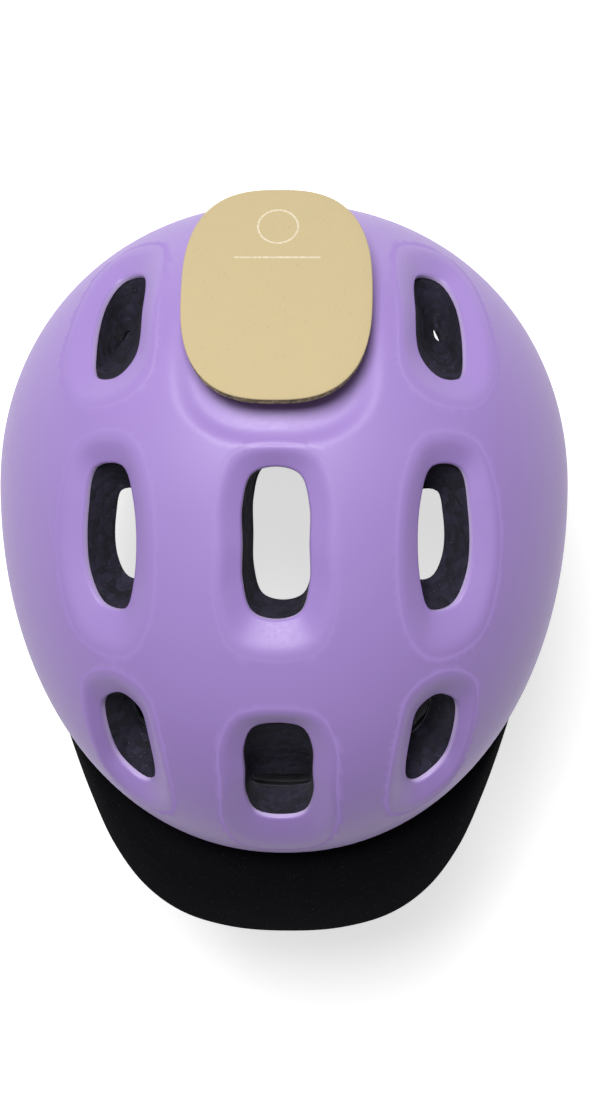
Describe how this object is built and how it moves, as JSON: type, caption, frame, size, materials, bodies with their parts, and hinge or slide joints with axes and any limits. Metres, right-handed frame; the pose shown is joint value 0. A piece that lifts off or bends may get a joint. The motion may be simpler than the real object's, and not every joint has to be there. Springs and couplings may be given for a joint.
{
  "type": "equestrian riding helmet",
  "caption": "Vented riding helmet with a pull-off visor, foam liner, comfort pads, dial-adjusted nape cradle, a rear patch and a buckled harness.",
  "frame": {"origin": "centre of the head opening, on the helmet's middle line, 130 mm under the crown", "axes": "+Z towards the crown, -Y towards the visor, +X ear to ear"},
  "size_m": [0.2152, 0.2929, 0.2771],
  "materials": {
    "shell": "satin",
    "foam": "matte",
    "band": "matte",
    "visor": "matte",
    "patch": "matte",
    "core": "matte",
    "rubber": "matte",
    "pad": "matte",
    "hook": "matte",
    "webbing": "matte",
    "plastic": "satin",
    "rivet": "satin"
  },
  "bodies": {
    "helmet": {"outer_shell": "shell", "eps_liner": "foam", "rim_band": "band", "visor_socket_left": "rubber", "visor_socket_centre": "rubber", "visor_socket_right": "rubber", "patch_mount": "rubber", "patch_core": "core", "patch_face": "patch", "pad_brow": "pad", "pad_rear": "pad", "hook_brow": "hook", "hook_rear": "hook", "pad_side_left": "pad", "pad_side_right": "pad", "hook_side_left": "hook", "hook_side_right": "hook", "pad_crown_left": "pad", "pad_crown_right": "pad", "hook_crown_left": "hook", "hook_crown_right": "hook", "strap_anchor_front_left": "plastic", "strap_anchor_front_right": "plastic", "strap_anchor_rear_left": "plastic", "strap_anchor_rear_right": "plastic", "strap_front_left": "webbing", "strap_front_right": "webbing", "strap_rear_left": "webbing", "strap_rear_right": "webbing", "side_band_left": "plastic", "side_band_right": "plastic", "band_rivet_left": "rivet", "band_rivet_right": "rivet"},
    "visor": {"visor": "visor"},
    "cradle": {"cradle_housing": "plastic", "cradle_cover": "plastic", "nape_pad": "pad"},
    "dial": {"dial_pinion": "plastic", "dial_knob": "plastic"},
    "rack_left": {"rack_left": "plastic"},
    "rack_right": {"rack_right": "plastic"},
    "chin_loop": {"divider_left": "plastic", "divider_right": "plastic", "chin_strap_left": "webbing", "strap_keeper": "rubber", "buckle_female": "plastic"},
    "lever_left": {"divider_lever_left": "plastic"},
    "lever_right": {"divider_lever_right": "plastic"},
    "buckle_male": {"buckle_male": "plastic", "chin_strap_right": "webbing"},
    "prong_front": {"prong_front": "plastic"},
    "prong_rear": {"prong_rear": "plastic"}
  },
  "joints": [
    {"name": "visor_pull", "type": "slide", "parent": "helmet", "child": "visor", "axis": [0, -1, 0], "range_m": [0, 0.03]},
    {"name": "cradle_reach", "type": "slide", "parent": "helmet", "child": "cradle", "axis": [0, -1, 0], "range_m": [0, 0.01305]},
    {"name": "dial_turn", "type": "hinge", "parent": "cradle", "child": "dial", "pos_m": [0, 0.1, -0.034], "axis": [0, 1, 0], "range_deg": [0, 150]},
    {"name": "rack_left_slide", "type": "slide", "parent": "cradle", "child": "rack_left", "axis": [1, 0, 0], "range_m": [0, 0.0131]},
    {"name": "rack_right_slide", "type": "slide", "parent": "cradle", "child": "rack_right", "axis": [-1, 0, 0], "range_m": [0, 0.0131]},
    {"name": "chin_swing", "type": "hinge", "parent": "helmet", "child": "chin_loop", "pos_m": [0, 0.023, -0.062], "axis": [1, 0, 0], "range_deg": [-40, 30]},
    {"name": "lever_left_open", "type": "hinge", "parent": "chin_loop", "child": "lever_left", "pos_m": [-0.0811, 0.023, -0.055], "axis": [0, 1, 0], "range_deg": [0, 75]},
    {"name": "lever_right_open", "type": "hinge", "parent": "chin_loop", "child": "lever_right", "pos_m": [0.0811, 0.023, -0.055], "axis": [0, -1, 0], "range_deg": [0, 75]},
    {"name": "buckle_release", "type": "slide", "parent": "chin_loop", "child": "buckle_male", "axis": [1, 0, 0], "range_m": [0, 0.024]},
    {"name": "prong_front_squeeze", "type": "hinge", "parent": "buckle_male", "child": "prong_front", "pos_m": [-0.001, 0.0165, -0.135], "axis": [0, 0, -1], "range_deg": [0, 8], "stiffness_Nm_per_rad": 0.02},
    {"name": "prong_rear_squeeze", "type": "hinge", "parent": "buckle_male", "child": "prong_rear", "pos_m": [-0.001, 0.0295, -0.135], "axis": [0, 0, 1], "range_deg": [0, 8], "stiffness_Nm_per_rad": 0.02}
  ],
  "couplings": [
    {"joint": "dial_turn", "follows": "cradle_reach", "rad_per_m": 200},
    {"joint": "rack_left_slide", "follows": "cradle_reach", "ratio": 1},
    {"joint": "rack_right_slide", "follows": "cradle_reach", "ratio": 1},
    {"joint": "prong_rear_squeeze", "follows": "prong_front_squeeze", "ratio": 1}
  ]
}
